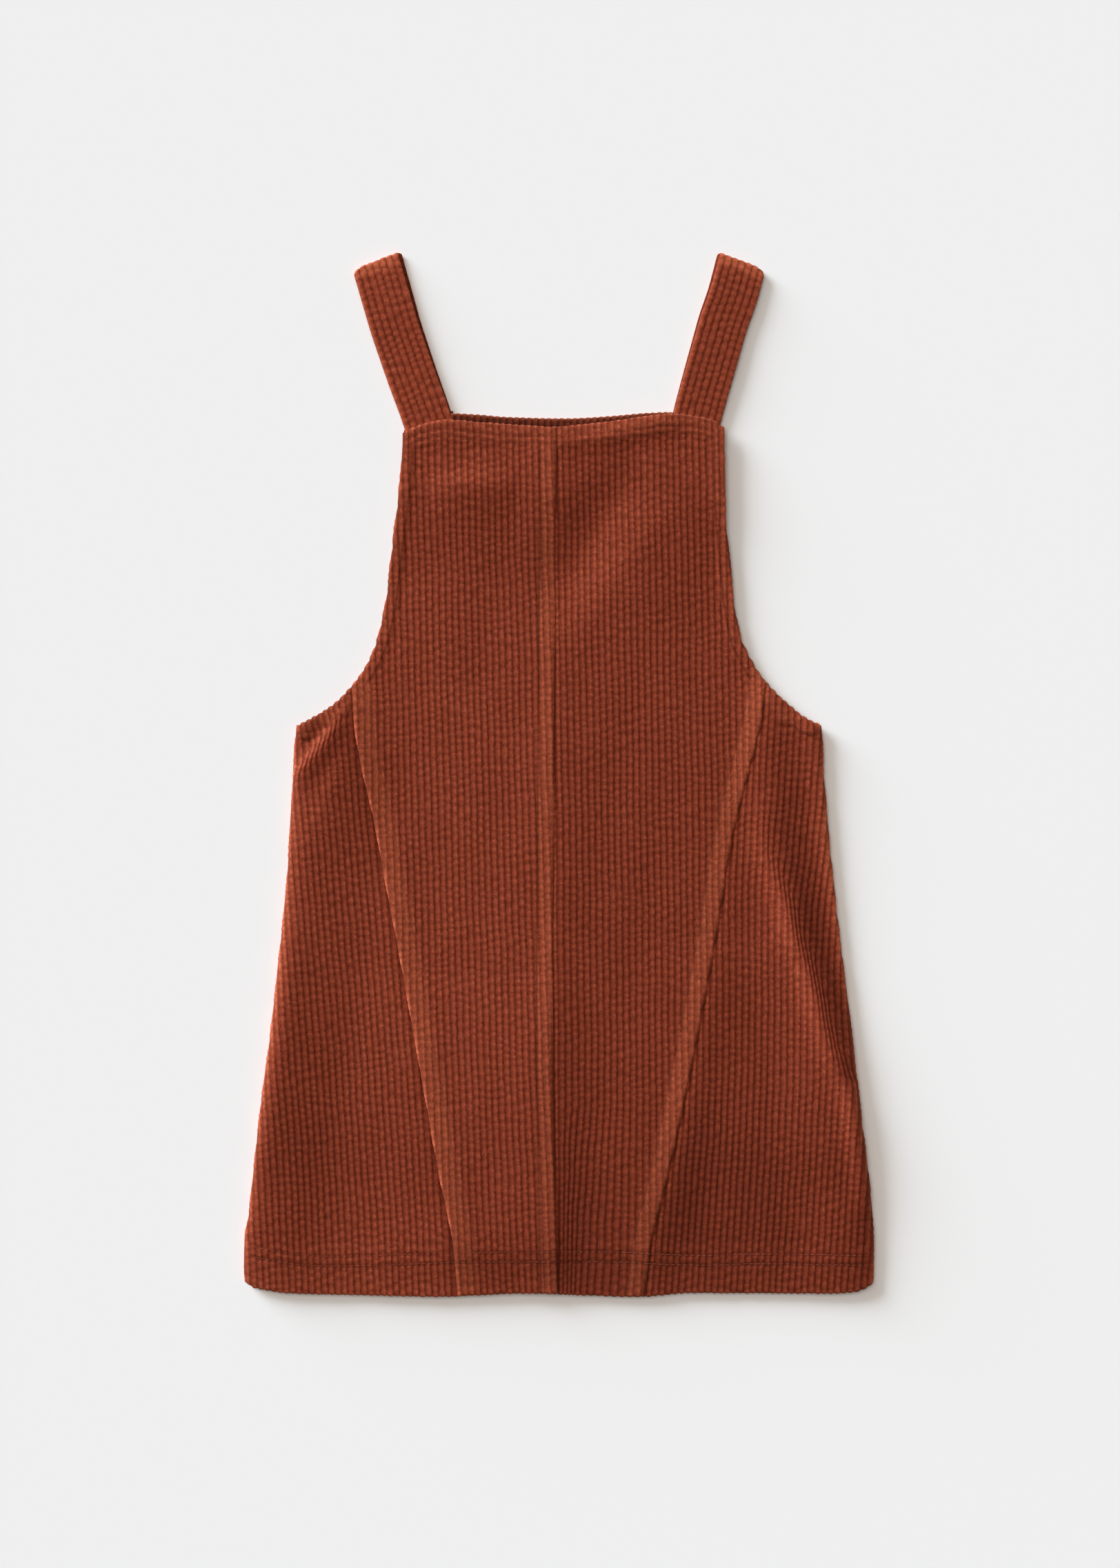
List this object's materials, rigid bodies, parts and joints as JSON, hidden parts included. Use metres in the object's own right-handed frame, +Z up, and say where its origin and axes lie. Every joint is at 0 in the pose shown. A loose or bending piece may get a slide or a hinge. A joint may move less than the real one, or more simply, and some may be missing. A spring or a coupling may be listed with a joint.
{
  "type": "pinafore dress laid flat",
  "caption": "Child's A-line corduroy pinafore dress with a bib front, wide shoulder straps and shaped front seams, laid flat on its back.",
  "frame": {"origin": "on the surface the dress lies on, under the middle of its length and width", "axes": "+X across the dress to the right of somebody looking down on its front, +Y from the hem towards the straps, +Z up off the surface"},
  "size_m": [0.3846, 0.6356, 0.0095],
  "materials": {
    "corduroy": "wide-wale cotton corduroy, matt with a soft nap",
    "corduroy_facing": "the same corduroy, inside the neck",
    "corduroy_strap": "the same corduroy, wales along the strap",
    "thread": "polyester topstitching thread, a little lighter than the cloth"
  },
  "bodies": {
    "root": {"centre_front_left": "corduroy", "centre_front_right": "corduroy", "side_front_left": "corduroy", "side_front_right": "corduroy", "back": "corduroy", "back_neck_facing": "corduroy_facing", "strap_left": "corduroy_strap", "strap_right": "corduroy_strap"}
  },
  "joints": []
}
